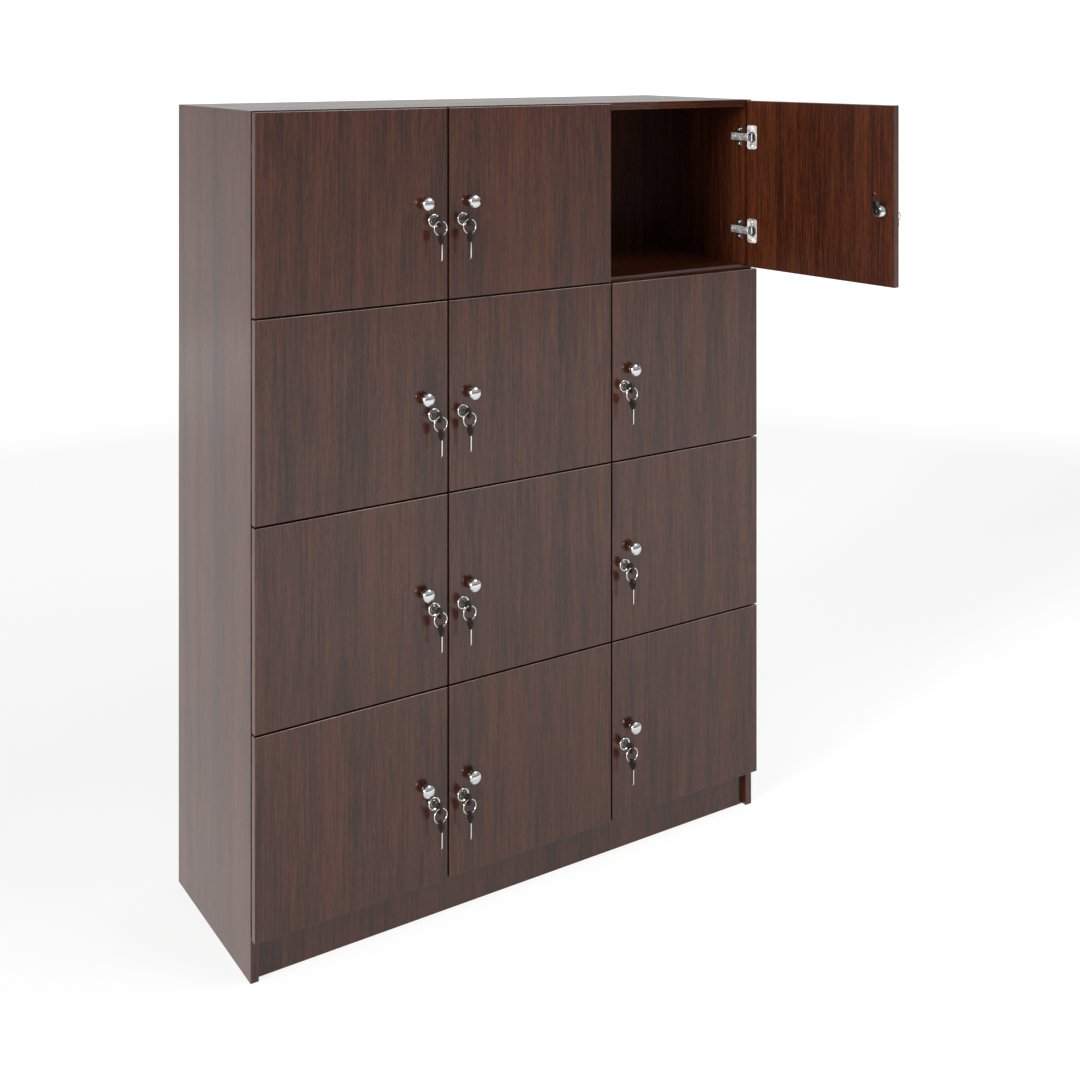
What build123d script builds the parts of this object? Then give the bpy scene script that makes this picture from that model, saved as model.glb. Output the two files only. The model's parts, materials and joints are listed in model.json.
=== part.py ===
"""Office locker cabinet in laminated board: three columns of four lockers, each with its own door.

X runs along the width, Y from the front to the back and Z up, in millimetres. The origin is the centre of
the plinth board's underside, on the floor. One door, top right, stands open; the others are shut.
"""

import os

from build123d import *

# Carcass
width = 1200.0
depth = 396.0
height = 1600.0
columns = 3
rows = 4
board = 16.0
back_thickness = 8.0
toe_height = 80.0
plinth_setback = 12.0
plinth_thickness = 16.0

# Doors
door_thickness = 16.0
door_gap = 4.0
door_standoff = 4.0
side_reveal = 0.5
end_reveal = 2.0
door_edge_radius = 0.8
open_row = 1
open_column = 3
open_angle = 98.0

# Knob, centred this far in from the middle of the gap and above the door's centre
knob_inset = 52.0
knob_rise = 2.0
knob_diameter = 27.0
knob_depth = 16.0
knob_standing_off = 15.5
knob_neck_diameter = 11.0
knob_base_diameter = 17.0
knob_base_thickness = 1.6
knob_screw_diameter = 4.0
knob_screw_grip = 9.0
knob_screw_head = 8.4
knob_screw_head_height = 2.4

# Cam lock
lock_inset = 32.5
lock_drop = 32.0
barrel_diameter = 22.0
barrel_beyond_door = 18.0
rim_diameter = 26.0
rim_height = 3.4
rim_width = 2.2
core_diameter = 14.0
core_recess = 1.2
core_tail = 0.5
running_clearance = 0.05
nut_across_flats = 27.0
nut_thickness = 3.6
cam_thickness = 2.0
cam_width = 16.0
cam_reach = 22.5
cam_screw_diameter = 4.0
cam_screw_length = 10.0
cam_screw_head = 8.0
cam_screw_head_height = 2.2

# Keys and ring
bow_length = 22.0
bow_height = 22.0
bow_thickness = 4.4
bow_hole_diameter = 4.4
bow_hole_from_end = 5.5
bow_hole_rise = 2.5
blade_length = 32.0
blade_height = 7.0
blade_thickness = 2.0
blade_tang = 8.0
key_standing_out = 8.0
keyway_clearance = 0.15
ring_radius = 14.0
ring_wire = 1.0
ring_rest = 0.3

# Strike angle that the cam turns in behind
strike_height = 24.0
strike_base = 13.2
strike_leaf = 8.0
strike_thickness = 1.5
strike_to_cam = 0.8
strike_screw_pitch = 14.0
strike_screw_length = 6.5

# Cup hinge with one pin
hinge_from_door_end = 82.5
pin_inset = 8.0
pin_diameter = 2.4
pin_play = 0.06
cup_diameter = 26.0
cup_to_door_edge = 3.0
cup_depth = 11.5
cup_wall = 1.0
cup_floor = 0.8
cup_seat_clearance = 0.05
flange_margin = 0.8
flange_height = 54.0
flange_thickness = 1.2
flange_corner = 6.0
cup_screw_pitch = 40.0
cup_screw_length = 10.0
eye_radius = 2.3
neck_width = 9.0
neck_thickness = 2.0
neck_reach = 13.0
neck_drop = 0.9
ear_gap = 0.3
arm_width = 16.0
arm_straight = 14.0
arm_crank_end = 25.0
arm_end = 56.0
arm_rise = 5.5
arm_lip = 1.2
arm_lip_drop = 2.4
plate_thickness = 2.0
plate_front = 13.5
plate_end = 57.0
plate_width = 20.0
plate_block_width = 11.0
wing_span = 47.0
wing_length = 14.0
plate_screw_pitch = 32.0
plate_screw_from_front = 21.0
arm_screw_places = (31.0, 40.0)
arm_screw_head = 6.0
arm_screw_head_height = 1.3

# Countersunk and pan-head wood screws, and dowels
screw_diameter = 3.4
screw_head = 7.0
screw_head_height = 1.5
plate_screw_length = 11.0
back_screw_length = 26.0
back_screw_head_sink = 2.0
dowel_diameter = 8.0
dowel_length = 30.0
dowel_in_upright = 7.0
dowel_fit = 0.05
dowel_places = (60.0, 200.0, 330.0)

# Places worked out from the sizes above
front = -(plinth_setback + plinth_thickness / 2)
back = front + depth
inner_back = back - back_thickness
side_face = width / 2 - board
clear_width = (width - (columns + 1) * board) / columns
column_edges = [-width / 2]
for step in range(1, columns):
    column_edges.append(-width / 2 + board / 2 + step * (clear_width + board))
column_edges.append(width / 2)
row_pitch = (height - toe_height) / rows
door_inner = front - door_standoff
door_outer = door_inner - door_thickness
pin_y = door_inner - door_thickness / 2
pin_to_inner = door_thickness / 2
cup_centre = pin_inset - cup_to_door_edge - cup_diameter / 2
cup_bore_radius = cup_diameter / 2 - cup_wall
barrel_end = door_inner + barrel_beyond_door
cam_front = barrel_end + core_tail
hinge_offset = (row_pitch - 2 * end_reveal) / 2 - hinge_from_door_end


def box_between(low, high):
    """A box from its lowest to its highest corner."""
    size = [b - a for a, b in zip(low, high)]
    middle = [(a + b) / 2 for a, b in zip(low, high)]
    return Pos(*middle) * Box(*size)


def rod_y(radius, y0, y1, x=0.0, z=0.0):
    """A cylinder along Y from y0 to y1."""
    return Pos(x, (y0 + y1) / 2, z) * Rot(90, 0, 0) * Cylinder(radius, abs(y1 - y0))


def rod_x(radius, x0, x1, y=0.0, z=0.0):
    """A cylinder along X from x0 to x1."""
    return Pos((x0 + x1) / 2, y, z) * Rot(0, 90, 0) * Cylinder(radius, abs(x1 - x0))


def rod_z(radius, z0, z1, x=0.0, y=0.0):
    """A cylinder along Z from z0 to z1."""
    return Pos(x, y, (z0 + z1) / 2) * Cylinder(radius, z1 - z0)


def one(shape):
    """The single solid of a shape."""
    return shape.solids()[0]


def cut(shape, tools):
    """The shape less every tool, as one solid."""
    return one(shape - tools) if tools else one(shape)


def save(name, solids):
    """Writes one node as its own file."""
    shape = solids[0] if len(solids) == 1 else Compound(children=solids)
    shape.label = name
    export_step(shape, "parts/" + name + ".step")


def screw_y(length, y, way, x, z, head=screw_head, head_height=screw_head_height, shank=screw_diameter):
    """A pan-head screw along Y, its head seated on y and its shank running the given way."""
    domed = rod_y(head / 2, y, y - way * head_height, x, z)
    domed = fillet(domed.edges().sort_by(Axis.Y)[0 if way > 0 else -1], head_height * 0.6)
    return one(domed + rod_y(shank / 2, y, y + way * length, x, z))


def screw_x(length, x, way, y, z, head=screw_head, head_height=screw_head_height, shank=screw_diameter):
    """A pan-head screw along X, its head seated on x and its shank running the given way."""
    domed = rod_x(head / 2, x, x - way * head_height, y, z)
    domed = fillet(domed.edges().sort_by(Axis.X)[0 if way > 0 else -1], head_height * 0.6)
    return one(domed + rod_x(shank / 2, x, x + way * length, y, z))


class Locker:
    """One compartment's place in the cabinet, its door's edges and which side it hinges on."""

    def __init__(self, row, column):
        self.row = row
        self.column = column
        self.name = f"r{row}c{column}"
        left, right = column_edges[column - 1], column_edges[column]
        self.door_left = left + (side_reveal if column == 1 else door_gap / 2)
        self.door_right = right - (side_reveal if column == columns else door_gap / 2)
        top = height - (row - 1) * row_pitch
        self.door_top = top - end_reveal
        self.door_bottom = top - row_pitch + end_reveal
        self.middle = (self.door_top + self.door_bottom) / 2
        self.hand = -1 if column == 1 else 1
        self.hinge_edge = self.door_right if self.hand > 0 else self.door_left
        self.lock_line = left if self.hand > 0 else right
        self.pin_x = self.hinge_edge - self.hand * pin_inset
        self.knob_x = self.lock_line + self.hand * knob_inset
        self.lock_x = self.lock_line + self.hand * lock_inset
        self.knob_z = self.middle + knob_rise
        self.lock_z = self.middle - lock_drop
        self.hinge_heights = (self.middle - hinge_offset, self.middle + hinge_offset)
        outer = column == 1 if self.hand < 0 else column == columns
        self.hinge_face = self.hand * side_face if outer else right - board / 2
        self.strike_face = self.lock_line + self.hand * board / 2
        self.is_open = row == open_row and column == open_column

    def place(self, shape):
        """Turns a piece of this door about the hinge pins if the door stands open."""
        if not self.is_open:
            return shape
        turn = Pos(self.pin_x, pin_y, 0) * Rot(0, 0, self.hand * open_angle) * Pos(-self.pin_x, -pin_y, 0)
        return turn * shape


def door_panel(locker):
    """The laminated door board with its cup, lock, knob and screw holes."""
    low = (locker.door_left, door_outer, locker.door_bottom)
    high = (locker.door_right, door_inner, locker.door_top)
    panel = box_between(low, high)
    panel = fillet(panel.edges().filter_by(Axis.Z) + panel.edges().filter_by(Axis.X), door_edge_radius)
    holes = [
        rod_y(knob_screw_diameter / 2 + 0.2, door_outer - 1, door_inner + 1, locker.knob_x, locker.knob_z),
        rod_y(barrel_diameter / 2 + cup_seat_clearance, door_outer - 1, door_inner + 1, locker.lock_x, locker.lock_z),
    ]
    cup_x = locker.pin_x + locker.hand * cup_centre
    for z in locker.hinge_heights:
        radius = cup_diameter / 2 + cup_seat_clearance
        holes.append(rod_y(radius, door_inner - cup_depth, door_inner + 1, cup_x, z))
        for side in (-1, 1):
            place = z + side * cup_screw_pitch / 2
            holes.append(rod_y(screw_diameter / 2, door_inner - cup_screw_length, door_inner + 1, cup_x, place))
    return cut(panel, holes)


def knob(x, z):
    """A turned knob: a flattened ball on a short neck and a base ring."""
    centre = door_outer - knob_standing_off
    half = Pos(knob_diameter / 4, 0) * Rectangle(knob_diameter / 2, knob_depth)
    ball = Pos(x, centre, z) * revolve(Ellipse(knob_diameter / 2, knob_depth / 2) & half, Axis.Y)
    neck = rod_y(knob_neck_diameter / 2, centre, door_outer, x, z)
    base = rod_y(knob_base_diameter / 2, door_outer - knob_base_thickness, door_outer, x, z)
    bore = rod_y(knob_screw_diameter / 2, door_outer - knob_screw_grip - 0.5, door_outer, x, z)
    return cut(ball + neck + base, [bore])


def knob_screw(x, z):
    """The screw that draws the knob on from inside the door."""
    length = door_thickness + knob_screw_grip
    return screw_y(
        length, door_inner, -1, x, z, knob_screw_head, knob_screw_head_height, knob_screw_diameter
    )


def lock_housing(x, z):
    """The fixed barrel of the cam lock, with its raised rim on the door's face."""
    barrel = rod_y(barrel_diameter / 2, door_outer, barrel_end, x, z)
    rim = rod_y(rim_diameter / 2, door_outer - rim_height, door_outer, x, z)
    rim = fillet(rim.edges().sort_by(Axis.Y)[0], rim_height / 3)
    dish = rod_y(rim_diameter / 2 - rim_width, door_outer - rim_height, door_outer - rim_height + core_recess, x, z)
    bore = rod_y(core_diameter / 2 + running_clearance, door_outer - rim_height, barrel_end, x, z)
    return cut(barrel + rim, [dish, bore])


def lock_nut(x, z):
    """The thin hexagon nut that holds the barrel in the door."""
    across_corners = nut_across_flats / 0.8660254
    turned = Pos(x, door_inner + nut_thickness / 2, z) * Rot(90, 0, 0)
    hexagon = turned * extrude(RegularPolygon(across_corners / 2, 6), nut_thickness / 2, both=True)
    bore = rod_y(barrel_diameter / 2, door_inner, door_inner + nut_thickness, x, z)
    return cut(hexagon, [bore])


def hinge_cup(locker, z):
    """The pressed cup and its flange, with two ears inside that hold the hinge pin."""
    hand = locker.hand
    x = locker.pin_x + hand * cup_centre
    floor_y = door_inner - cup_depth
    outer = rod_y(cup_diameter / 2, floor_y, door_inner, x, z)
    flange_width = cup_diameter + 2 * flange_margin
    low = (x - flange_width / 2, door_inner, z - flange_height / 2)
    high = (x + flange_width / 2, door_inner + flange_thickness, z + flange_height / 2)
    flange = box_between(low, high)
    flange = fillet(flange.edges().filter_by(Axis.Y), flange_corner)
    cavity = rod_y(cup_bore_radius, floor_y + cup_floor, door_inner + flange_thickness, x, z)
    screw_holes = []
    for side in (-1, 1):
        place = z + side * cup_screw_pitch / 2
        screw_holes.append(rod_y(screw_diameter / 2, door_inner, door_inner + flange_thickness, x, place))
    shell = (outer + flange) - cavity - screw_holes
    for side in (-1, 1):
        reach = (cup_bore_radius**2 - cup_centre**2) ** 0.5
        ends = sorted((z + side * (neck_width / 2 + ear_gap), z + side * (reach + cup_wall / 2)))
        ear_low = (locker.pin_x - eye_radius, floor_y + cup_floor / 2, ends[0])
        ear_high = (locker.pin_x + eye_radius, pin_y + eye_radius, ends[1])
        ear = box_between(ear_low, ear_high) & rod_y(cup_diameter / 2, floor_y, door_inner, x, z)
        shell = shell + ear
    return cut(shell, [pin(locker, z, running_clearance)])


def pin(locker, z, play=0.0):
    """The hinge pin, held at both ends in the cup's ears."""
    reach = (cup_bore_radius**2 - cup_centre**2) ** 0.5
    return one(rod_z(pin_diameter / 2 + play, z - reach, z + reach, locker.pin_x, pin_y))


def arm_profile(locker, inset):
    """Points of the arm's middle line in plan, from the pin back into the compartment."""
    rear_x = (locker.hinge_face - locker.pin_x) * locker.hand - arm_rise
    return [
        (0.0, 0.0),
        (-neck_reach, -neck_drop),
        (-neck_reach, arm_straight),
        (rear_x, arm_crank_end),
        (rear_x, arm_end - inset),
    ]


def strip(points, thickness, z_width, x, y, z, hand):
    """A bent flat strip along points in plan, of one thickness, standing z_width tall."""
    line = Polyline([(hand * px, py) for px, py in points])
    outline = offset(line, amount=thickness / 2, side=Side.BOTH, closed=True)
    face = make_face(outline)
    return Pos(x, y, z - z_width / 2) * extrude(face, z_width, dir=(0, 0, 1))


def hinge_arm(locker, z):
    """The fixed arm: an eye on the pin, a neck that clears the cup's rim, and a channel on the plate."""
    hand = locker.hand
    points = arm_profile(locker, 0.0)
    place = (locker.pin_x, pin_y, z, hand)
    neck = strip(points[:2], neck_thickness, neck_width, *place)
    body = strip(points[1:], neck_thickness, arm_width, *place)
    eye = rod_z(eye_radius, z - neck_width / 2, z + neck_width / 2, locker.pin_x, pin_y)
    arm = neck + body + eye
    rear_x = points[-1][0]
    for side in (-1, 1):
        edges = sorted((z + side * arm_width / 2, z + side * (arm_width / 2 - arm_lip)))
        x_ends = sorted((locker.pin_x + hand * rear_x, locker.pin_x + hand * (rear_x + 1 + arm_lip_drop)))
        low = (x_ends[0], pin_y + arm_crank_end, edges[0])
        high = (x_ends[1], pin_y + arm_end, edges[1])
        arm = arm + box_between(low, high)
    holes = [rod_z(pin_diameter / 2 + pin_play, z - neck_width, z + neck_width, locker.pin_x, pin_y)]
    for place_y in arm_screw_places:
        holes.append(rod_x(screw_diameter / 2, locker.pin_x + hand * (rear_x - 2),
                           locker.hinge_face, front + place_y, z))
    return cut(arm, holes)


def mounting_plate(locker, z):
    """The winged plate that the arm is screwed to, on the upright's face."""
    hand = locker.hand
    face = locker.hinge_face
    block_top = arm_rise - neck_thickness / 2

    def slab(rise, y0, y1, span):
        ends = sorted((face, face - hand * rise))
        return box_between((ends[0], y0, z - span / 2), (ends[1], y1, z + span / 2))

    screw_y_place = front + plate_screw_from_front
    bar = slab(plate_thickness, pin_y + plate_front, pin_y + plate_end, plate_width)
    wings = slab(plate_thickness, screw_y_place - wing_length / 2, screw_y_place + wing_length / 2, wing_span)
    wings = fillet(wings.edges().filter_by(Axis.X), wing_length / 2 - 0.5)
    block = slab(block_top, pin_y + arm_crank_end + 1, pin_y + arm_end - 1, plate_block_width)
    holes = []
    for side in (-1, 1):
        place = z + side * plate_screw_pitch / 2
        holes.append(rod_x(screw_diameter / 2, face - hand * plate_thickness, face, screw_y_place, place))
    for place_y in arm_screw_places:
        holes.append(rod_x(screw_diameter / 2, face - hand * block_top, face, front + place_y, z))
    return cut(bar + wings + block, holes)


def hinge_screws(locker, z):
    """The two plate screws and the two arm screws of one hinge."""
    hand = locker.hand
    face = locker.hinge_face
    screws = []
    for side in (-1, 1):
        place = z + side * plate_screw_pitch / 2
        seat = face - hand * plate_thickness
        screws.append(screw_x(plate_screw_length, seat, hand, front + plate_screw_from_front, place))
    for place_y in arm_screw_places:
        seat = face - hand * (arm_rise + neck_thickness / 2)
        grip = arm_rise + neck_thickness / 2 - 0.3
        screws.append(screw_x(grip, seat, hand, front + place_y, z, arm_screw_head, arm_screw_head_height))
    return screws


def strike(locker):
    """The angle on the upright that the cam turns in behind."""
    hand = locker.hand
    face = locker.strike_face
    z = locker.lock_z
    rear = cam_front - strike_to_cam
    base_ends = sorted((face, face + hand * strike_thickness))
    leaf_ends = sorted((face, face + hand * strike_leaf))
    half = strike_height / 2
    base = box_between((base_ends[0], rear - strike_base, z - half), (base_ends[1], rear, z + half))
    leaf = box_between((leaf_ends[0], rear - strike_thickness, z - half), (leaf_ends[1], rear, z + half))
    holes = []
    for side in (-1, 1):
        place = z + side * strike_screw_pitch / 2
        holes.append(rod_x(screw_diameter / 2, base_ends[0], base_ends[1], strike_screw_y(), place))
    return cut(base + leaf, holes)


def strike_screw_y():
    """How far back the strike's screws sit."""
    return cam_front - strike_to_cam - strike_base / 2 - strike_thickness


def strike_screws(locker):
    """The two screws of one strike angle."""
    seat = locker.strike_face + locker.hand * strike_thickness
    screws = []
    for side in (-1, 1):
        place = locker.lock_z + side * strike_screw_pitch / 2
        screws.append(screw_x(strike_screw_length, seat, -locker.hand, strike_screw_y(), place))
    return screws


def lock_core(x, z):
    """The turning core with its keyway and its tail."""
    core = rod_y(core_diameter / 2, door_outer - rim_height + core_recess, cam_front, x, z)
    half_thick = blade_thickness / 2 + keyway_clearance
    half_high = blade_height / 2 + keyway_clearance
    slot_end = key_face() + blade_length + keyway_clearance
    low = (x - half_thick, door_outer - rim_height, z - half_high)
    keyway = box_between(low, (x + half_thick, slot_end, z + half_high))
    bore = rod_y(cam_screw_diameter / 2, cam_front - cam_screw_length + cam_thickness, cam_front, x, z)
    return cut(core, [keyway, bore])


def lock_cam(x, z):
    """The flat cam, pointing up while the lock is open."""
    tip = z + cam_reach - cam_width / 2
    low = (x - cam_width / 2, cam_front, z)
    bar = box_between(low, (x + cam_width / 2, cam_front + cam_thickness, tip))
    ends = [rod_y(cam_width / 2, cam_front, cam_front + cam_thickness, x, end) for end in (z, tip)]
    bore = rod_y(cam_screw_diameter / 2, cam_front, cam_front + cam_thickness, x, z)
    return cut(bar + ends[0] + ends[1], [bore])


def cam_screw(x, z):
    """The screw that holds the cam on the core."""
    return screw_y(
        cam_screw_length, cam_front + cam_thickness, -1, x, z,
        cam_screw_head, cam_screw_head_height, cam_screw_diameter,
    )


def key_face():
    """Where a key's bow ends and its blade begins, out in front of the lock."""
    return door_outer - rim_height - key_standing_out


def key_bow_outline(y0, z, x):
    """The rounded bow of a key whose blade points back along Y from y0."""
    low = (x - bow_thickness / 2, y0 - bow_length, z - bow_height / 2)
    bow = box_between(low, (x + bow_thickness / 2, y0, z + bow_height / 2))
    bow = fillet(bow.edges().filter_by(Axis.X), min(bow_length, bow_height) * 0.42)
    return fillet(bow.faces().filter_by(Axis.X).edges(), bow_thickness * 0.2)


def key(x, y0, z):
    """A key as two solids: a moulded bow with a hole, and a flat blade whose tang sits in the bow."""
    hole_y = y0 - bow_length + bow_hole_from_end
    hole = rod_x(bow_hole_diameter / 2, x - bow_thickness, x + bow_thickness, hole_y, z + bow_hole_rise)
    half = (blade_thickness / 2, blade_height / 2)
    blade = box_between((x - half[0], y0 - blade_tang, z - half[1]), (x + half[0], y0 + blade_length, z + half[1]))
    tip = blade.edges().filter_by(Axis.X).sort_by(Axis.Y)[-2:]
    blade = chamfer(tip, blade_height * 0.3)
    bow = cut(key_bow_outline(y0, z, x), [hole, blade])
    return [bow, one(blade)]


def ring_centre_drop():
    """How far the ring's centre hangs below the key's axis."""
    wire = bow_hole_rise - bow_hole_diameter / 2 + ring_wire + ring_rest
    return ring_radius - wire


def key_ring(x, z):
    """The wire ring through the hole of the key in the lock, parallel to the door."""
    y = key_face() - bow_length + bow_hole_from_end
    return one(Pos(x, y, z - ring_centre_drop()) * Rot(90, 0, 0) * Torus(ring_radius, ring_wire))


def spare_key(x, z):
    """The second key, hanging from the foot of the ring with its blade down."""
    ring_y = key_face() - bow_length + bow_hole_from_end
    hole_z = z - ring_centre_drop() - ring_radius - bow_hole_diameter / 2 + ring_wire + ring_rest
    end = bow_length - bow_hole_from_end
    solids = []
    for piece in key(0.0, end, -bow_hole_rise):
        hung = Pos(x, ring_y, hole_z) * Rot(-90, 0, 0) * piece
        solids.append(one(hung))
    return solids


def dowels_between(x, z, way, along):
    """Dowels across one joint: from an upright's face at x, or from a flat board's face at z."""
    rods = []
    for place in dowel_places:
        y = front + place
        if along == "x":
            rods.append((rod_x, x - way * dowel_in_upright, x + way * (dowel_length - dowel_in_upright), y, z))
        else:
            rods.append((rod_z, z - dowel_in_upright, z + dowel_length - dowel_in_upright, x, y))
    return rods


def all_dowels():
    """Every dowel of the carcass, as (maker, start, end, two coordinates)."""
    dowels = []
    faces = [(-side_face, 1)]
    for edge in column_edges[1:-1]:
        faces += [(edge - board / 2, -1), (edge + board / 2, 1)]
    faces.append((side_face, -1))
    for x, way in (faces[0], faces[-1]):
        for z in (height - board / 2, toe_height + board / 2):
            dowels += dowels_between(x, z, way, "x")
    for x, way in faces:
        for step in range(1, rows):
            dowels += dowels_between(x, toe_height + step * row_pitch, way, "x")
    for x in column_edges[1:-1]:
        dowels += dowels_between(x, toe_height + board, 1, "z")
        low = height - board - (dowel_length - dowel_in_upright)
        for place in dowel_places:
            dowels.append((rod_z, low, low + dowel_length, x, front + place))
    plinth_y = front + plinth_setback + plinth_thickness / 2
    for x, way in (faces[0], faces[-1]):
        for z in (toe_height * 0.25, toe_height * 0.75):
            start, end = x - way * dowel_in_upright, x + way * (dowel_length - dowel_in_upright)
            dowels.append((rod_x, start, end, plinth_y, z))
    return dowels


def rods(dowels, play=0.0):
    """Solids of the dowels, with play for the holes that they sit in."""
    made = []
    for maker, start, end, first, second in dowels:
        ends = (start, end) if start < end else (end, start)
        made.append(one(maker(dowel_diameter / 2 + play, ends[0] - play, ends[1] + play, first, second)))
    return made


def back_screw_places():
    """Where the back panel is screwed to the boards in front of it."""
    places = []
    span = side_face - 40
    for z in (height - board / 2, toe_height + board / 2):
        for step in range(5):
            places.append((-span + step * span / 2, z))
    for x in column_edges[1:-1]:
        for row in range(rows):
            places.append((x, toe_height + (row + 0.5) * row_pitch))
    for column in range(columns):
        x = (column_edges[column] + column_edges[column + 1]) / 2
        for step in range(1, rows):
            places.append((x, toe_height + step * row_pitch))
    return places


def back_screws(play=0.0):
    """The back panel's screws, their heads flush in the panel."""
    screws = []
    for x, z in back_screw_places():
        shank = rod_y(screw_diameter / 2 + play, back - back_screw_length, back, x, z)
        cone = Pos(x, back - back_screw_head_sink / 2, z) * Rot(90, 0, 0)
        cone = cone * Cone(screw_head / 2 + play, screw_diameter / 2 + play, back_screw_head_sink)
        screws.append(one(shank + cone))
    return screws


def near(shape, tools):
    """The tools, given with their boxes, whose boxes meet the shape's box."""
    box = shape.bounding_box()
    picked = []
    for tool, other in tools:
        apart = (
            other.min.X > box.max.X or other.max.X < box.min.X
            or other.min.Y > box.max.Y or other.max.Y < box.min.Y
            or other.min.Z > box.max.Z or other.max.Z < box.min.Z
        )
        if not apart:
            picked.append(tool)
    return picked


def carcass_boards():
    """The plain boards of the carcass by node name, before any hole is cut."""
    shelf_zs = [toe_height + step * row_pitch for step in range(1, rows)]
    half = board / 2
    sides = {
        "side_panel_left": [box_between((-width / 2, front, 0), (-side_face, back, height))],
        "side_panel_right": [box_between((side_face, front, 0), (width / 2, back, height))],
        "top_panel": [box_between((-side_face, front, height - board), (side_face, inner_back, height))],
        "bottom_panel": [box_between((-side_face, front, toe_height), (side_face, inner_back, toe_height + board))],
    }
    low, high = toe_height + board, height - board
    sides["dividers"] = [
        box_between((x - half, front, low), (x + half, inner_back, high)) for x in column_edges[1:-1]
    ]
    shelves = []
    for column in range(columns):
        left = -side_face if column == 0 else column_edges[column] + half
        right = side_face if column == columns - 1 else column_edges[column + 1] - half
        for z in shelf_zs:
            shelves.append(box_between((left, front, z - half), (right, inner_back, z + half)))
    sides["shelves"] = shelves
    plinth_front = front + plinth_setback
    sides["plinth_board"] = [
        box_between((-side_face, plinth_front, 0), (side_face, plinth_front + plinth_thickness, toe_height))
    ]
    sides["back_panel"] = [box_between((-side_face, inner_back, toe_height), (side_face, back, height))]
    return sides


def lock_pieces(x, z):
    """What turns in a lock: the core, the cam and its screw, the key and the ring."""
    return [lock_core(x, z), lock_cam(x, z), cam_screw(x, z)] + key(x, key_face(), z) + [key_ring(x, z)]


def door_fittings(locker):
    """What is fixed to a door: the knob, the lock's barrel and nut, and the two hinge cups."""
    cup_x = locker.pin_x + locker.hand * cup_centre
    fittings = [knob(locker.knob_x, locker.knob_z), knob_screw(locker.knob_x, locker.knob_z)]
    fittings += [lock_housing(locker.lock_x, locker.lock_z), lock_nut(locker.lock_x, locker.lock_z)]
    for z in locker.hinge_heights:
        fittings += [hinge_cup(locker, z), pin(locker, z)]
        for side in (-1, 1):
            place = z + side * cup_screw_pitch / 2
            fittings.append(screw_y(cup_screw_length, door_inner + flange_thickness, -1, cup_x, place))
    return fittings


def top_locker_pieces(column):
    """The pieces of a column's top locker, its door shut, by kind. The rows below repeat them."""
    locker = Locker(1, column)
    x, z = locker.lock_x, locker.lock_z
    arms = []
    screws = strike_screws(locker)
    for place in locker.hinge_heights:
        arms += [hinge_arm(locker, place), mounting_plate(locker, place)]
        screws += hinge_screws(locker, place)
    return {
        "arms": arms,
        "screws": screws,
        "strikes": [strike(locker)],
        "door": [door_panel(locker)],
        "fittings": door_fittings(locker),
        "lock": lock_pieces(x, z),
        "spare_key": spare_key(x, z),
    }


def build():
    """Makes and writes every node."""
    dowels = all_dowels()
    carcass_screws = back_screws()
    arms = []
    strikes = []
    for column in range(1, columns + 1):
        top = top_locker_pieces(column)
        for row in range(1, rows + 1):
            locker = Locker(row, column)
            drop = Pos(0, 0, -(row - 1) * row_pitch)
            arms += [drop * piece for piece in top["arms"]]
            strikes += [drop * piece for piece in top["strikes"]]
            carcass_screws += [drop * piece for piece in top["screws"]]
            for kind in ("door", "fittings", "lock", "spare_key"):
                save(f"{kind}_{locker.name}", [locker.place(drop * piece) for piece in top[kind]])
    tools = [(tool, tool.bounding_box()) for tool in rods(dowels, dowel_fit) + carcass_screws]
    for name, boards in carcass_boards().items():
        save(name, [cut(piece, near(piece, tools)) for piece in boards])
    save("hinge_arms", arms)
    save("strike_plates", strikes)
    save("carcass_screws", carcass_screws)
    save("panel_dowels", rods(dowels))


os.makedirs("parts", exist_ok=True)
build()
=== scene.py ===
"""Looks of the office locker cabinet: laminate, chrome knobs, cam locks with keys, and cup hinges.

Shapes are worked out in millimetres. Each door's fittings are drawn once for a column, about its hinge pin,
and placed for the four rows.
"""

import json
import math

import bmesh
import bpy
from mathutils import Matrix, Vector


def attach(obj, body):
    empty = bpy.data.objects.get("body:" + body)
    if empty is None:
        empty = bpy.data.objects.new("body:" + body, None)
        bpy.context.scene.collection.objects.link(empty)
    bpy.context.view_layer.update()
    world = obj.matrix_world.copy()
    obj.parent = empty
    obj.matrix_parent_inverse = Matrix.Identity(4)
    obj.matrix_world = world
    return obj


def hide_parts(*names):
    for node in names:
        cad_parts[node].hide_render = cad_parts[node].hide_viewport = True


MM = 0.001

# Cabinet
width = 1200.0
height = 1600.0
board = 16.0
toe_height = 80.0
plinth_setback = 12.0
plinth_thickness = 16.0
door_thickness = 16.0
door_gap = 4.0
door_standoff = 4.0
side_reveal = 0.5
end_reveal = 2.0
open_angle = 98.0

# Knob
knob_inset = 52.0
knob_rise = 2.0
knob_radius = 13.5
knob_half_depth = 8.0
knob_standing_off = 15.5
knob_neck_meets_ball = -0.78

# Lock and keys
lock_inset = 32.5
lock_drop = 32.0
barrel_radius = 11.0
barrel_beyond_door = 18.0
rim_radius = 13.0
rim_height = 3.4
thread_pitch = 1.0
thread_depth = 0.45
core_radius = 7.0
core_recess = 1.2
core_play = 0.06
keyway_play = 0.15
nut_across_flats = 27.0
nut_thickness = 3.6
cam_thickness = 2.0
cam_width = 16.0
cam_reach = 22.5
cam_corner = 4.0
cam_to_barrel = 0.5
bow_length = 22.0
bow_height = 22.0
bow_thickness = 4.4
bow_hole_radius = 2.2
bow_hole_from_end = 5.5
bow_hole_rise = 2.5
blade_length = 32.0
blade_height = 7.0
blade_thickness = 2.0
key_standing_out = 8.0
ring_radius = 14.0
ring_wire = 1.0
ring_rest = 0.3

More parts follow.
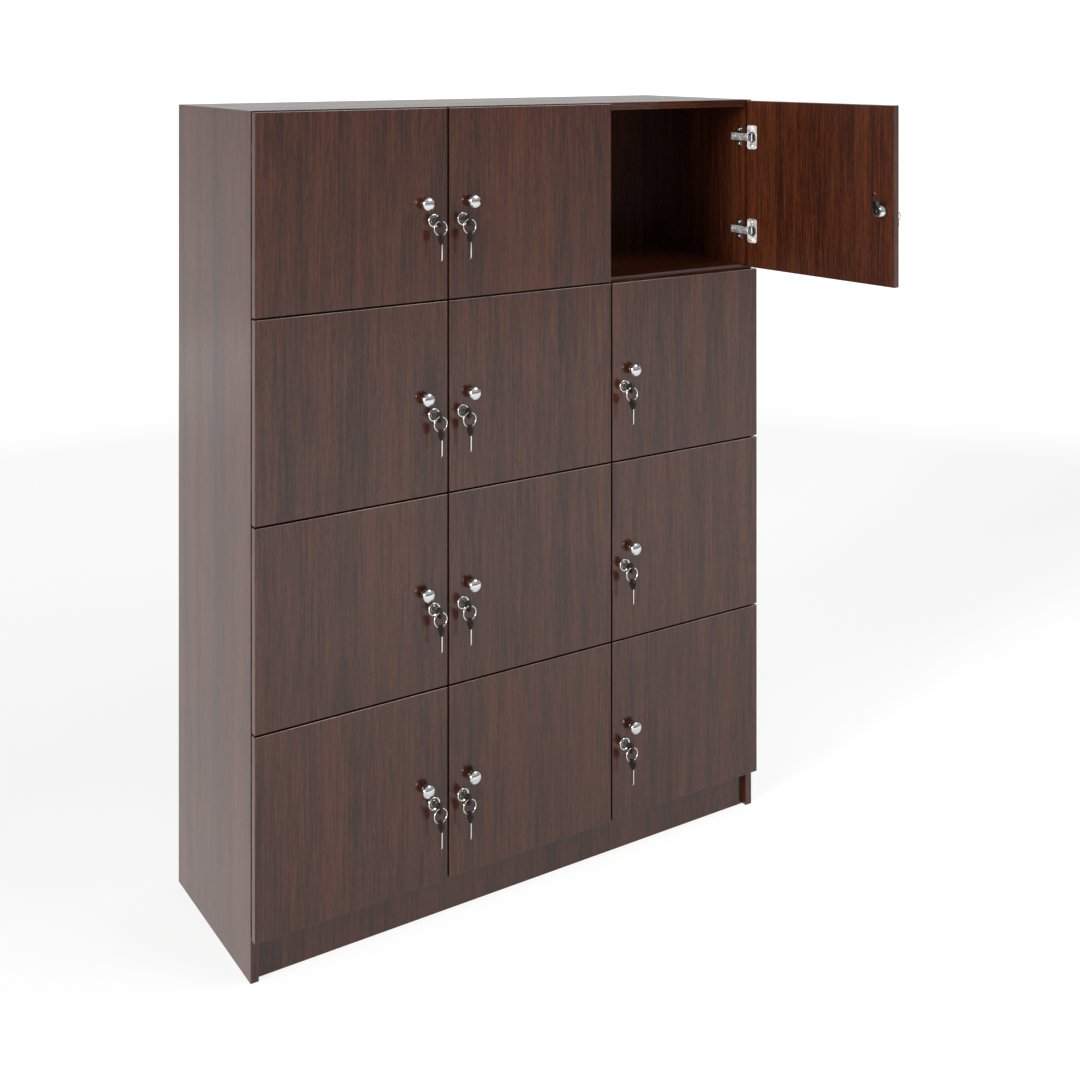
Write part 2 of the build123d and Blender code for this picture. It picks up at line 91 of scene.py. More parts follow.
# Hinge
hinge_from_door_end = 82.5
pin_inset = 8.0
cup_radius = 13.0
cup_wall = 1.0
cup_floor = 0.8
cup_depth = 11.5
cup_to_door_edge = 3.0
flange_margin = 0.8
flange_height = 54.0
flange_thickness = 1.2
cup_screw_pitch = 40.0
eye_radius = 2.3
eye_play = 0.05
pin_radius = 1.2
neck_width = 9.0
neck_thickness = 2.0
neck_reach = 13.0
neck_drop = 0.9
arm_width = 16.0
arm_straight = 14.0
arm_crank_end = 25.0
arm_end = 56.0
arm_rise = 5.5
arm_bend = 2.5
arm_lip = 1.2
arm_lip_drop = 2.4
plate_thickness = 2.0
plate_front = 13.5
plate_end = 57.0
plate_width = 20.0
plate_block_width = 11.0
wing_span = 47.0
wing_length = 14.0
plate_screw_pitch = 32.0
plate_screw_from_front = 21.0
arm_screw_places = (31.0, 40.0)

# Screw heads: radius and height
knob_screw = (4.15, 2.3)
cam_screw = (4.0, 2.2)
wood_screw = (3.45, 1.45)
arm_screw = (2.95, 1.25)

# Material slots of the shared meshes
# The dark slot holds the dark metal, which also paints shade in the lock's recess and the cups, and dark
# reflection on the knobs' necks.
knob_slot, barrel_slot, cup_slot, pin_slot, dark_slot = range(5)
lock_metal_slot, lock_dark_slot, bow_and_keyway_shade_slot = 1, 2, 3
spare_bow_slot, spare_blade_slot = range(2)
arm_slot, arm_screw_slot, plate_slot = range(3)

# Studio: metres and degrees, the lens in millimetres
floor_reach = 6.0
camera_place = (-1.6045, -2.5687, 1.7087)
camera_heading = -32.67
camera_lens = 48.9
camera_shift = -0.4522

# Places worked out from the sizes above
front = -(plinth_setback + plinth_thickness / 2)
side_face = width / 2 - board
clear_width = (width - 4 * board) / 3
column_edges = [-width / 2 + column * (clear_width + board) for column in range(4)]
column_edges = [-width / 2, column_edges[1] + board / 2, column_edges[2] + board / 2, width / 2]
row_pitch = (height - toe_height) / 4
pin_y = front - door_standoff - door_thickness / 2
outer = -door_thickness / 2
inner = door_thickness / 2
carcass = inner + door_standoff
cup_centre = pin_inset - cup_to_door_edge - cup_radius
hinge_offset = (row_pitch - 2 * end_reveal) / 2 - hinge_from_door_end
barrel_end = inner + barrel_beyond_door
cam_front = barrel_end + cam_to_barrel
key_face = outer - rim_height - key_standing_out
ring_y = key_face - bow_length + bow_hole_from_end
ring_drop = ring_radius - (bow_hole_rise - bow_hole_radius + ring_wire + ring_rest)
spare_hole_drop = ring_drop + ring_radius + bow_hole_radius - ring_wire - ring_rest


# Shaders

def material(name, **inputs):
    """A material with one Principled shader, its inputs set as given."""
    made = bpy.data.materials.new(name)
    made.use_nodes = True
    shader = made.node_tree.nodes["Principled BSDF"]
    for key, value in inputs.items():
        shader.inputs[key.replace("_", " ")].default_value = value
    return made, made.node_tree, shader


def node(tree, kind, inputs=None, **settings):
    """A node of one kind. Inputs are numbers, colours or other nodes' outputs, by name or place."""
    made = tree.nodes.new("ShaderNode" + kind)
    for key, value in settings.items():
        setattr(made, key, value)
    for key, value in (inputs or {}).items():
        if isinstance(value, bpy.types.NodeSocket):
            tree.links.new(value, made.inputs[key])
        else:
            made.inputs[key].default_value = value
    return made


def arithmetic(tree, operation, *values):
    """The result of one Math node over numbers or other nodes' outputs."""
    return node(tree, "Math", dict(enumerate(values)), operation=operation).outputs[0]


def ramp(tree, factor, stops):
    """A colour ramp over a factor, from (place, colour) stops."""
    made = node(tree, "ValToRGB", {"Fac": factor})
    band = made.color_ramp
    while len(band.elements) < len(stops):
        band.elements.new(0.5)
    for element, (place, colour) in zip(band.elements, stops):
        element.position = place
        element.color = (*colour, 1.0) if len(colour) == 3 else (colour[0],) * 3 + (1.0,)
    return made.outputs["Color"]


def noise(tree, vector, scale, detail=2.0, roughness=0.5, distortion=0.0):
    """A noise value over a vector."""
    made = node(tree, "TexNoise", {"Vector": vector, "Scale": scale, "Detail": detail})
    made.inputs["Roughness"].default_value = roughness
    made.inputs["Distortion"].default_value = distortion
    return made.outputs["Fac"]


def mix(tree, factor, first, second, blend="MIX"):
    """Two colours mixed by a factor."""
    made = node(tree, "MixRGB", {"Fac": factor, "Color1": first, "Color2": second}, blend_type=blend)
    return made.outputs["Color"]


def stretched(tree, squeeze, offset):
    """Object coordinates stretched along the grain."""
    coords = node(tree, "TexCoord").outputs["Object"]
    mapped = node(tree, "Mapping", {"Vector": coords})
    mapped.inputs["Location"].default_value = offset
    mapped.inputs["Scale"].default_value = squeeze
    return mapped.outputs["Vector"]


def laminate(name, along, seed, broad=0.0, painted_edge_highlight=False):
    """Glossy dark wenge laminate with its grain along one axis: bands, fibres, fine lines and pores.

    Broad moves the contrast to the wide bands. With its highlight switched on, the rounded upper edges get
    a pale painted highlight, broken into patches.
    """
    made, tree, shader = material(name, IOR=1.5)

    def grain(across, length):
        return tuple(length if axis == along else across for axis in "XYZ")

    offset = (seed * 3.71, seed * 1.93, seed * 2.57)
    bands = noise(tree, stretched(tree, grain(26.0, 0.9), offset), 1.0, 2.0, 0.5, 0.25)
    fibres = noise(tree, stretched(tree, grain(210.0, 8.0), offset), 1.0, 3.0, 0.62, 0.30)
    lines = noise(tree, stretched(tree, grain(440.0, 50.0), offset), 1.0, 2.0, 0.6, 0.35)
    pores = noise(tree, stretched(tree, grain(1500.0, 70.0), offset), 1.0, 1.0, 0.5)
    tone = arithmetic(tree, "MULTIPLY", bands, 0.25 + broad)
    tone = arithmetic(tree, "MULTIPLY_ADD", fibres, 0.45 - broad * 0.5, tone)
    tone = arithmetic(tree, "MULTIPLY_ADD", lines, 0.30 - broad * 0.5, tone)
    colour = ramp(tree, tone, [
        (0.41, (0.0180, 0.0044, 0.0022)),
        (0.47, (0.0345, 0.0085, 0.0035)),
        (0.53, (0.0505, 0.0127, 0.0050)),
        (0.60, (0.0695, 0.0190, 0.0075)),
    ])
    pits = ramp(tree, pores, [(0.60, (0.0,)), (0.68, (0.55,))])
    colour = mix(tree, pits, colour, (0.0090, 0.0030, 0.0018, 1.0))
    # Painted highlight: where the normal faces up, on the rounded upper edges, the colour is lifted towards
    # pale grey in noisy patches.
    if painted_edge_highlight:
        facing = node(tree, "TexCoord").outputs["Normal"]
        upward = node(tree, "SeparateXYZ", {"Vector": facing}).outputs["Z"]
        edge_highlight = ramp(tree, upward, [(0.10, (0.0,)), (0.30, (1.0,)), (0.90, (1.0,)), (0.97, (0.0,))])
        wear_and_highlight = noise(tree, stretched(tree, (7.0, 7.0, 7.0), offset), 1.0, 3.0, 0.6)
        wear_and_highlight = ramp(tree, wear_and_highlight, [(0.36, (0.35,)), (0.58, (1.0,))])
        edge_highlight = mix(tree, 1.0, edge_highlight, wear_and_highlight, "MULTIPLY")
        colour = mix(tree, edge_highlight, colour, (0.300, 0.262, 0.240, 1.0))
    tree.links.new(colour, shader.inputs["Base Color"])
    gloss = ramp(tree, tone, [(0.40, (0.22,)), (0.60, (0.13,))])
    gloss = mix(tree, pits, gloss, (0.34, 0.34, 0.34, 1.0))
    tree.links.new(gloss, shader.inputs["Roughness"])
    relief = mix(tree, pits, lines, (0.0, 0.0, 0.0, 1.0))
    bump = node(tree, "Bump", {"Height": relief, "Strength": 0.10, "Distance": 0.0001})
    tree.links.new(bump.outputs["Normal"], shader.inputs["Normal"])
    return made


def metal(name, colour, roughness, scratch, wear_and_highlight=0.0):
    """Plated metal with fine wear: the roughness and the surface vary a little."""
    made, tree, shader = material(name, Metallic=1.0)
    coords = node(tree, "TexCoord").outputs["Object"]
    smears = noise(tree, coords, 140.0, 3.0, 0.6)
    fine = noise(tree, stretched(tree, (2600.0, 2600.0, 300.0), (0.3, 0.7, 0.1)), 1.0, 2.0, 0.6)
    tint = ramp(tree, smears, [(0.30, tuple(c * (1.0 - 0.10 - wear_and_highlight) for c in colour)), (0.65, colour)])
    tree.links.new(tint, shader.inputs["Base Color"])
    rough = ramp(tree, smears, [(0.30, (roughness * 0.75,)), (0.70, (roughness * 1.45,))])
    tree.links.new(rough, shader.inputs["Roughness"])
    bump = node(tree, "Bump", {"Height": fine, "Strength": scratch, "Distance": 0.00002})
    tree.links.new(bump.outputs["Normal"], shader.inputs["Normal"])
    return made


def plastic(name, colour):
    """Moulded black plastic with a fine spark-eroded grain."""
    made, tree, shader = material(name, IOR=1.32)
    coords = node(tree, "TexCoord").outputs["Object"]
    grain = noise(tree, coords, 2600.0, 2.0, 0.6)
    wear = noise(tree, coords, 120.0, 3.0, 0.6)
    tint = ramp(tree, wear, [(0.35, colour), (0.75, tuple(c * 1.9 + 0.004 for c in colour))])
    tree.links.new(tint, shader.inputs["Base Color"])
    rough = ramp(tree, wear, [(0.30, (0.32,)), (0.72, (0.50,))])
    tree.links.new(rough, shader.inputs["Roughness"])
    bump = node(tree, "Bump", {"Height": grain, "Strength": 0.25, "Distance": 0.00005})
    tree.links.new(bump.outputs["Normal"], shader.inputs["Normal"])
    return made


def bare_wood(name):
    """Pale beech for the dowels."""
    made, tree, shader = material(name, Roughness=0.6)
    fibres = noise(tree, stretched(tree, (30.0, 500.0, 500.0), (0.0, 0.0, 0.0)), 1.0, 3.0, 0.6)
    tint = ramp(tree, fibres, [(0.35, (0.50, 0.31, 0.17)), (0.65, (0.66, 0.45, 0.27))])
    tree.links.new(tint, shader.inputs["Base Color"])
    bump = node(tree, "Bump", {"Height": fibres, "Strength": 0.4, "Distance": 0.0001})
    tree.links.new(bump.outputs["Normal"], shader.inputs["Normal"])
    return made


# Shapes

class Shape:
    """Closed shells in millimetres about one origin, gathered into one mesh."""

    def __init__(self):
        self.verts = []
        self.faces = []
        self.slots = []

    def add(self, verts, faces, slot):
        start = len(self.verts)
        self.verts += [tuple(v) for v in verts]
        self.faces += [[start + i for i in face] for face in faces]
        self.slots += slot if isinstance(slot, list) else [slot] * len(faces)

    def rings(self, rings, slot, closed=False):
        """Skins rings of equal length, each a list of points. A ring of one point is a tip.

        The slot is one number, or a list with one for each band of faces.
        """
        verts = [p for ring in rings for p in ring]
        starts = []
        total = 0
        for ring in rings:
            starts.append(total)
            total += len(ring)
        faces = []
        slots = []
        pairs = list(zip(range(len(rings)), range(1, len(rings))))
        if closed:
            pairs.append((len(rings) - 1, 0))
        chosen = slot if isinstance(slot, list) else [slot] * len(pairs)
        for (a, b), band in zip(pairs, chosen):
            count = max(len(rings[a]), len(rings[b]))
            for i in range(count):
                j = (i + 1) % count
                corners = []
                for ring, order in ((a, (i, j)), (b, (j, i))):
                    corners += [starts[ring] + (place if len(rings[ring]) > 1 else 0) for place in order]
                face = []
                for index in corners:
                    if index not in face:
                        face.append(index)
                if len(face) > 2:
                    faces.append(face)
                    slots.append(band)
        self.add(verts, faces, slots)

    def lathe(self, profile, centre, axis, slot, segments=40):
        """Turns a profile of (radius, distance along the axis) about an axis through the centre."""
        rings = []
        for radius, along in profile:
            if radius < 1e-6:
                rings.append([spot(centre, axis, 0.0, 0.0, along)])
                continue
            ring = []
            for i in range(segments):
                angle = 2 * math.pi * i / segments
                ring.append(spot(centre, axis, radius * math.cos(angle), radius * math.sin(angle), along))
            rings.append(ring)
        closed = profile[0][0] > 1e-6
        self.rings(rings, slot, closed)

    def block(self, low, high, slot, bevel=0.25, segments=2):
        """A box with rounded edges."""
        work = bmesh.new()
        bmesh.ops.create_cube(work, size=1.0)
        low, high = [[f(a, b) for a, b in zip(low, high)] for f in (min, max)]
        for vert in work.verts:
            vert.co = Vector([low[i] if vert.co[i] < 0 else high[i] for i in range(3)])
        self.take(work, slot, work.edges[:], bevel, segments)

    def prism(self, outline, start, end, axis, slot, bevel=0.25, segments=2):
        """An outline of points across an axis, from start to end along it, its edges rounded."""
        work = bmesh.new()
        near = [work.verts.new(spot((0, 0, 0), axis, a, b, start)) for a, b in outline]
        far = [work.verts.new(spot((0, 0, 0), axis, a, b, end)) for a, b in outline]
        work.faces.new(near)
        work.faces.new(far[::-1])
        count = len(outline)
        for i in range(count):
            work.faces.new([near[i], near[(i + 1) % count], far[(i + 1) % count], far[i]])
        edges = [e for e in work.edges if (e.verts[0] in near) == (e.verts[1] in near)]
        self.take(work, slot, edges, bevel, segments)

    def take(self, work, slot, edges, bevel, segments):
        """Rounds some edges of a bmesh and takes its faces."""
        bmesh.ops.bevel(work, geom=edges, offset=bevel, segments=segments, profile=0.6, affect="EDGES")
        work.verts.ensure_lookup_table()
        work.verts.index_update()
        self.add([v.co[:] for v in work.verts], [[v.index for v in f.verts] for f in work.faces], slot)
        work.free()

    def screw(self, centre, axis, way, radius, rise, slot, turn=0.0):
        """A pan head with a cross recess, seated at the centre and standing out against way."""
        half, arm, deep = radius * 0.13, radius * 0.52, rise * 0.55
        cross = [
            (arm, half), (half, half), (half, arm), (-half, arm), (-half, half), (-arm, half),
            (-arm, -half), (-half, -half), (-half, -arm), (half, -arm), (half, -half), (arm, -half),
        ]
        dense = []
        for i, (a, b) in enumerate(cross):
            c, d = cross[(i + 1) % len(cross)]
            steps = 4 if math.hypot(c - a, d - b) > half * 2.5 else 2
            dense += [(a + (c - a) * k / steps, b + (d - b) * k / steps) for k in range(steps)]
        turned = [(a * math.cos(turn) - b * math.sin(turn), a * math.sin(turn) + b * math.cos(turn))
                  for a, b in dense]
        angles = [math.atan2(b, a) for a, b in turned]

        def circle(r, along):
            return [spot(centre, axis, r * math.cos(t), r * math.sin(t), -way * along) for t in angles]

        def crossed(along, shrink=1.0):
            return [spot(centre, axis, a * shrink, b * shrink, -way * along) for a, b in turned]

        rings = [
            [spot(centre, axis, 0.0, 0.0, 0.0)], circle(radius * 0.985, 0.0), circle(radius, rise * 0.15),
            circle(radius * 0.96, rise * 0.55), circle(radius * 0.82, rise * 0.85),
            circle(radius * 0.66, rise), crossed(rise), crossed(rise - deep, 0.8),
            [spot(centre, axis, 0.0, 0.0, -way * (rise - deep))],
        ]
        self.rings(rings, slot)

    def mesh(self, name, mirrored, materials, smooth=38.0):
        """The finished mesh in metres, mirrored across X for a door hinged on the left."""
        made = bpy.data.meshes.new(name)
        sign = -1.0 if mirrored else 1.0
        made.from_pydata([(sign * x * MM, y * MM, z * MM) for x, y, z in self.verts], [], self.faces)
        for item in materials:
            made.materials.append(item)
        for polygon, slot in zip(made.polygons, self.slots):
            polygon.material_index = slot
            polygon.use_smooth = True
        work = bmesh.new()
        work.from_mesh(made)
        bmesh.ops.recalc_face_normals(work, faces=work.faces[:])
        work.to_mesh(made)
        work.free()
        made.set_sharp_from_angle(angle=math.radians(smooth))
        made.validate()
        return made


def spot(centre, axis, first, second, along):
    """A point from its two coordinates across an axis and its distance along it."""
    x, y, z = centre
    if axis == "x":
        return (x + along, y + first, z + second)
    if axis == "y":
        return (x + first, y + along, z + second)
    return (x + first, y + second, z + along)


def rounded(width_, height_, radius, steps=6):
    """Points of a rectangle with round corners, about its centre."""
    points = []
    for sx, sy, start in ((1, 1, 0), (-1, 1, 90), (-1, -1, 180), (1, -1, 270)):
        for k in range(steps + 1):
            angle = math.radians(start + 90.0 * k / steps)
            points.append((sx * (width_ / 2 - radius) + radius * math.cos(angle),
                           sy * (height_ / 2 - radius) + radius * math.sin(angle)))
    return points


def finer(points, step):
    """A closed outline with its long sides cut into short ones."""
    made = []
    for i, (a, b) in enumerate(points):
        c, d = points[(i + 1) % len(points)]
        count = max(1, round(math.hypot(c - a, d - b) / step))
        made += [(a + (c - a) * k / count, b + (d - b) * k / count) for k in range(count)]
    return made


def round_hole_plate(shape, outline, centre, hole, y0, y1, slot, bevel):
    """A plate across Y with a round hole: its outline is seen from the hole's centre."""
    cx, cz = centre
    inner_ring = []
    for a, b in outline:
        angle = math.atan2(b - cz, a - cx)
        inner_ring.append((cx + hole * math.cos(angle), cz + hole * math.sin(angle)))

    def level(points, y):
        return [(a, y, b) for a, b in points]

    def toward(points, amount):
        moved = []
        for a, b in points:
            length = math.hypot(a - cx, b - cz)
            moved.append((a + (cx - a) * amount / length, b + (cz - b) * amount / length))
        return moved

    rings = [
        level(inner_ring, y0), level(outline, y0), level(outline, y1 - bevel),
        level(toward(outline, bevel), y1), level(toward(inner_ring, -bevel), y1),
        level(inner_ring, y1 - bevel),
    ]
    shape.rings(rings, slot, closed=True)


# Fittings of a door, about its hinge pin

def turned_knob(shape, x, z, ball, neck):
    """The chrome knob: base ring, hollowed neck and flattened ball."""
    profile = [(0.0, outer), (8.1, outer), (8.5, outer - 0.4), (8.4, outer - 1.1), (7.6, outer - 1.7)]
    for k in range(9):
        share = k / 8
        profile.append((5.4 + 1.7 * (1 - share) ** 2.2 + 2.3 * share ** 3, outer - 1.9 - share * 6.2))
    count = len(profile)
    centre = outer - knob_standing_off
    low = math.asin(knob_neck_meets_ball)
    steps = 26
    for k in range(steps + 1):
        angle = low + (math.pi / 2 - low) * k / steps
        radius = knob_radius * math.cos(angle) if k < steps else 0.0
        profile.append((radius, centre - knob_half_depth * math.sin(angle)))
    # Painted dark reflection: the base ring and neck of the one chrome knob take the neck slot, given the
    # dark metal, so they show dark while the ball stays bright.
    shape.lathe(profile, (x, 0, z), "y", [neck] * count + [ball] * (len(profile) - count), 64)


def lock_barrel(shape, x, z, slot, dark):
    """The lock's barrel with its raised rim, hollow where the core turns."""
    face = outer - rim_height
    profile = [
        (core_radius + core_play, barrel_end), (core_radius + core_play, face + core_recess + 0.3),
        (core_radius + 0.5, face + core_recess), (rim_radius - 2.9, face + core_recess - 0.1),
        (rim_radius - 2.2, face + 0.3), (rim_radius - 1.9, face), (rim_radius - 1.0, face + 0.05),
        (rim_radius - 0.35, face + 0.45), (rim_radius, face + 1.2), (rim_radius, outer - 0.1),
        (rim_radius - 0.15, outer), (barrel_radius, outer), (barrel_radius, inner),
    ]
    y = inner
    while y < barrel_end - 1.4:
        profile += [(barrel_radius, y + 0.2), (barrel_radius - thread_depth, y + 0.6)]
        y += thread_pitch
        profile.append((barrel_radius, y))
    profile += [(barrel_radius - 0.5, barrel_end)]
    # Painted shade: the bore and the recessed face between core and rim take the dark metal, so the rim
    # shows as a bright ring round a dark middle.
    shape.lathe(profile, (x, 0, z), "y", [dark] * 3 + [slot] * (len(profile) - 3), 48)


def lock_nut(shape, x, z, slot):
    """The slim hexagon nut on the barrel."""
    outline = []
    corner = nut_across_flats / 2 / math.cos(math.pi / 6)
    for k in range(6):
        a = math.radians(60 * k)
        b = math.radians(60 * (k + 1))
        for share in (0.0, 1 / 3, 2 / 3):
            outline.append((x + corner * (math.cos(a) * (1 - share) + math.cos(b) * share),
                            z + corner * (math.sin(a) * (1 - share) + math.sin(b) * share)))
    hole = barrel_radius + 0.02
    round_hole_plate(shape, finer(outline, 2.0), (x, z), hole, inner, inner + nut_thickness, slot, 0.6)


def hinge_cup(shape, z, steel, dark, painted_shade_inside):
    """The pressed cup, its flange with two screws, its ears and its pin."""
    floor = inner - cup_depth
    bore = cup_radius - cup_wall
    top = inner + flange_thickness
    profile = [
        (0.0, floor), (cup_radius - 1.2, floor), (cup_radius, floor + 1.2), (cup_radius, inner),
        (bore + 0.02, inner), (bore, floor + cup_floor + 1.4), (bore - 1.4, floor + cup_floor),
        (0.0, floor + cup_floor),
    ]
    # Painted shade: the cup's inner wall and floor take the dark metal so the cup looks dark inside.
    shape.lathe(profile, (cup_centre, 0, z), "y", [steel] * 4 + [painted_shade_inside] * 3, 48)
    outline = [(cup_centre + a, z + b) for a, b in
               finer(rounded(2 * (cup_radius + flange_margin), flange_height, 6.0, 8), 1.6)]
    round_hole_plate(shape, outline, (cup_centre, z), bore, inner, top, steel, 0.45)
    reach = math.sqrt(bore ** 2 - cup_centre ** 2)
    for side in (-1, 1):
        near, far = z + side * (neck_width / 2 + 0.3), z + side * (reach + 0.4)
        shape.block((-eye_radius, floor + 0.5, near), (eye_radius, eye_radius, far), steel, 0.5, 3)
        seat = (cup_centre, top, z + side * cup_screw_pitch / 2)
        shape.screw(seat, "y", -1, *wood_screw, steel, 0.4 + side)
    pin = [(0, -reach), (pin_radius, -reach), (pin_radius, reach), (0, reach)]
    shape.lathe(pin, (0, 0, z), "z", dark, 20)


def door_fittings(lock_x):
    """Knob, knob screw, lock barrel, nut and the two cups."""
    shape = Shape()
    step = lock_x + (knob_inset - lock_inset)
    # The knob's base and neck get the dark metal as a painted dark reflection on the chrome.
    turned_knob(shape, step, knob_rise, knob_slot, dark_slot)
    shape.screw((step, inner, knob_rise), "y", -1, *knob_screw, dark_slot, 0.7)
    lock_barrel(shape, lock_x, -lock_drop, barrel_slot, dark_slot)
    lock_nut(shape, lock_x, -lock_drop, dark_slot)
    for z in (-hinge_offset, hinge_offset):
        hinge_cup(shape, z, cup_slot, pin_slot, dark_slot)
    return shape


def key_blade(shape, x, y0, z, down, slot):
    """A flat blade with a shaped tip, pointing back or down."""
    half = blade_thickness / 2
    outline = [
        (-7.0, -2.6), (-6.6, -3.0), (0.0, -3.5), (blade_length - 3.4, -3.5), (blade_length, -0.8),
        (blade_length, 1.0), (blade_length - 1.8, 3.5), (1.0, 3.5), (0.0, 3.0), (-7.0, 2.6),
    ]
    if down:
        points = [(y0 + b, z - a) for a, b in outline]
    else:
        points = [(y0 + a, z + b) for a, b in outline]
    shape.prism(points, x - half, x + half, "x", slot, 0.3, 1)


def key_bow(shape, x, y0, z, down, slot):
    """The moulded bow with its hole, rounded all round. The hole lies above the bow's middle line."""
    count = 72
    hole = (-bow_length + bow_hole_from_end, bow_hole_rise)
    middle = (-bow_length / 2, 0.0)
    outline = []
    for k in range(count):
        angle = 2 * math.pi * k / count
        direction = (math.cos(angle), math.sin(angle))
        low, high = 0.0, 60.0
        for _ in range(32):
            reach = (low + high) / 2
            u = (hole[0] + reach * direction[0] - middle[0]) / (bow_length / 2)
            narrowing = 1.0 - 0.30 * max(u + 0.2, 0.0) ** 1.4
            v = (hole[1] + reach * direction[1] - middle[1]) / (bow_height / 2 * narrowing)
            if abs(u) ** 2.5 + abs(v) ** 2.5 < 1:
                low = reach
            else:
                high = reach
        outline.append((hole[0] + low * direction[0], hole[1] + low * direction[1]))
    ring = []
    for a, b in outline:
        length = math.hypot(a - hole[0], b - hole[1])
        ring.append((hole[0] + (a - hole[0]) / length * bow_hole_radius,
                     hole[1] + (b - hole[1]) / length * bow_hole_radius))

    def shrunk(points, amount):
        moved = []
        for a, b in points:
            length = math.hypot(a - middle[0], b - middle[1])
            share = 1 - amount / max(length, amount)
            moved.append((middle[0] + (a - middle[0]) * share, middle[1] + (b - middle[1]) * share))
        return moved

    def grown(points, amount):
        share = 1 + amount / bow_hole_radius
        return [(hole[0] + (a - hole[0]) * share, hole[1] + (b - hole[1]) * share) for a, b in points]

    def level(points, along):
        if down:
            return [(x + along, y0 + b, z - a) for a, b in points]
        return [(x + along, y0 + a, z + b) for a, b in points]

    half = bow_thickness / 2
    rings = [
        level(ring, -half + 0.5), level(grown(ring, 0.35), -half + 0.1),
        level(shrunk(outline, 3.4), -half + 0.1), level(shrunk(outline, 2.6), -half),
        level(shrunk(outline, 0.9), -half), level(shrunk(outline, 0.3), -half + 0.3),
        level(outline, -half + 1.0), level(outline, half - 1.0),
        level(shrunk(outline, 0.3), half - 0.3), level(shrunk(outline, 0.9), half),
        level(shrunk(outline, 2.6), half), level(shrunk(outline, 3.4), half - 0.1),
        level(grown(ring, 0.35), half - 0.1), level(ring, half - 0.5),
    ]
    shape.rings(rings, slot, closed=True)


def lock_works(lock_x):
    """What turns in the lock: core with its keyway, cam, screw, key and ring."""
    shape = Shape()
    x, z = lock_x, -lock_drop
    face = outer - rim_height + core_recess
    half_x, half_z = blade_thickness / 2 + keyway_play, blade_height / 2 + keyway_play
    slot_points = rounded(2 * half_x, 2 * half_z, 0.3, 2)
    dense = []
    for i, (a, b) in enumerate(slot_points):
        c, d = slot_points[(i + 1) % len(slot_points)]
        steps = 8 if abs(d - b) > 3 else 2
        dense += [(a + (c - a) * k / steps, b + (d - b) * k / steps) for k in range(steps)]
    angles = [math.atan2(b, a) for a, b in dense]

    def circle(radius, y):
        return [(x + radius * math.cos(t), y, z + radius * math.sin(t)) for t in angles]

    slot_end = key_face + blade_length + 0.2
    rings = [
        [(x, slot_end, z)], [(x + a, slot_end, z + b) for a, b in dense],
        [(x + a, face, z + b) for a, b in dense], circle(core_radius - 0.3, face),
        circle(core_radius, face + 0.3), circle(core_radius, cam_front), [(x, cam_front, z)],
    ]
    # Painted shade: the keyway walls take the black plastic and the core's face the dark metal, inside a
    # bright chamfer ring, so the lock's middle shows dark.
    bands = [bow_and_keyway_shade_slot, bow_and_keyway_shade_slot, lock_dark_slot, lock_metal_slot, lock_dark_slot, lock_dark_slot]
    shape.rings(rings, bands)
    outline = []
    for k in range(25):
        angle = math.radians(180 + 180 * k / 24)
        outline.append((x + cam_width / 2 * math.cos(angle), z + cam_width / 2 * math.sin(angle)))
    tip = z + cam_reach - cam_corner
    for side, start in ((1, 0), (-1, 90)):
        middle = x + side * cam_width / 2 - side * cam_corner
        for k in range(9):
            angle = math.radians(start + 90 * k / 8)
            outline.append((middle + cam_corner * math.cos(angle), tip + cam_corner * math.sin(angle)))
    shape.prism(outline, cam_front, cam_front + cam_thickness, "y", lock_dark_slot, 0.3, 2)
    shape.screw((x, cam_front + cam_thickness, z), "y", -1, *cam_screw, lock_dark_slot, 0.3)
    key_bow(shape, x, key_face, z, False, bow_and_keyway_shade_slot)
    key_blade(shape, x, key_face, z, False, lock_metal_slot)
    rings = []
    around_ring, around_wire = 72, 14
    for k in range(around_ring):
        angle = 2 * math.pi * k / around_ring
        ring = []
        for j in range(around_wire):
            around = 2 * math.pi * j / around_wire
            radius = ring_radius + ring_wire * math.cos(around)
            ring.append((x + radius * math.cos(angle), ring_y + ring_wire * math.sin(around),
                         z - ring_drop + radius * math.sin(angle)))
        rings.append(ring)
    shape.rings(rings, lock_metal_slot, closed=True)
    return shape


def spare_key(lock_x):
    """The key that hangs from the foot of the ring."""
    shape = Shape()
    end = -bow_length + bow_hole_from_end
    hole_z = -lock_drop - spare_hole_drop
    key_bow(shape, lock_x, ring_y - bow_hole_rise, hole_z + end, True, spare_bow_slot)
    key_blade(shape, lock_x, ring_y - bow_hole_rise, hole_z + end, True, spare_blade_slot)
    return shape


# Hinge arm and plate, about the pin

def arm_line(face):
    """Corners of the arm's middle line in plan, for an upright whose face is at x = face."""
    rear = face - arm_rise
    return [(0.0, 0.0), (-neck_reach, -neck_drop), (-neck_reach, arm_straight), (rear, arm_crank_end),
            (rear, arm_end)]


def strip_outline(points, thickness):
    """The outline of a strip of one thickness along a line of points."""
    left, right = [], []
    for i, (x, y) in enumerate(points):
        before = points[max(i - 1, 0)]
        after = points[min(i + 1, len(points) - 1)]
        first = Vector((x - before[0], y - before[1]))
        second = Vector((after[0] - x, after[1] - y))
        if first.length < 1e-6:
            first = second
        if second.length < 1e-6:
            second = first
        first.normalize()
        second.normalize()
        along = (first + second).normalized()
        normal = Vector((-along.y, along.x))
        stretch = 1 / max(normal.dot(Vector((-first.y, first.x))), 0.3)
        left.append((x + normal.x * thickness / 2 * stretch, y + normal.y * thickness / 2 * stretch))
        right.append((x - normal.x * thickness / 2 * stretch, y - normal.y * thickness / 2 * stretch))
    return left + right[::-1]


